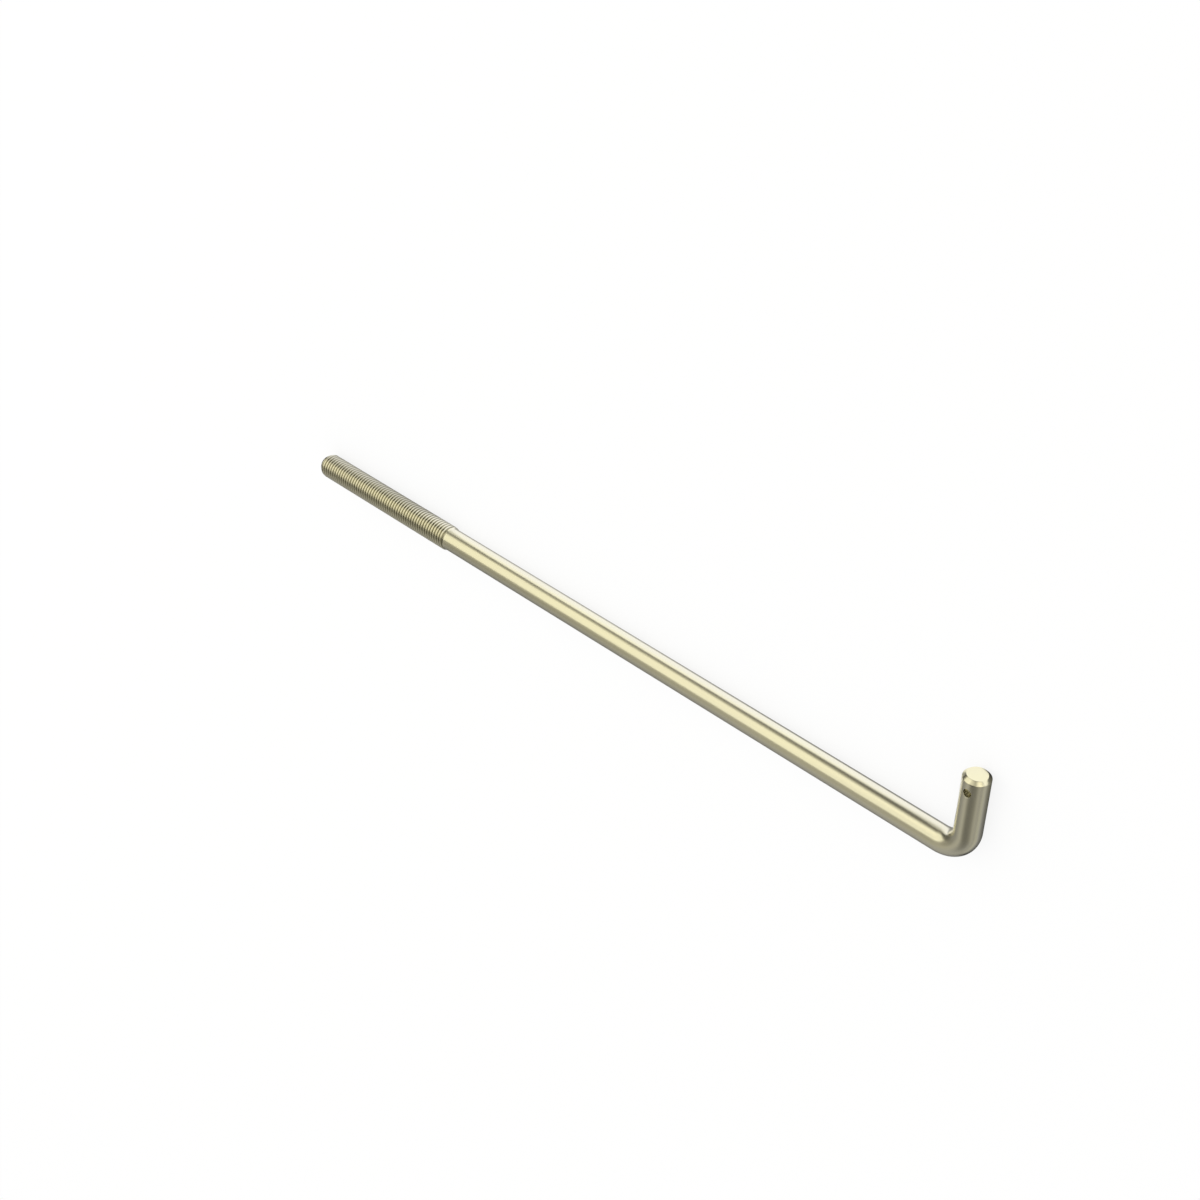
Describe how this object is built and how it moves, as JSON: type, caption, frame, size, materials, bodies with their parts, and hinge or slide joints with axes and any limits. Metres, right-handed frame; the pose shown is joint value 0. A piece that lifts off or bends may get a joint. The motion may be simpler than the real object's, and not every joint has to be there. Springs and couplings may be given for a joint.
{
  "type": "hook bolt",
  "caption": "Long round steel bolt, threaded at one end and bent square at the other into a short hook leg with a split pin hole.",
  "frame": {"origin": "where the rod's axis meets the leg's axis, the hook's outer corner that its lengths are measured from", "axes": "+X along the rod towards the thread, -Y along the leg towards its tip, +Z square to the hook's plane, up from the surface that it lies on"},
  "size_m": [0.3954, 0.0444, 0.012],
  "materials": {
    "plated_steel": "bright zinc plate with a pale yellow passivated tint, smooth and glossy, faint drawing marks along the rod"
  },
  "bodies": {
    "root": {"hook_bolt": "plated_steel"}
  },
  "joints": []
}
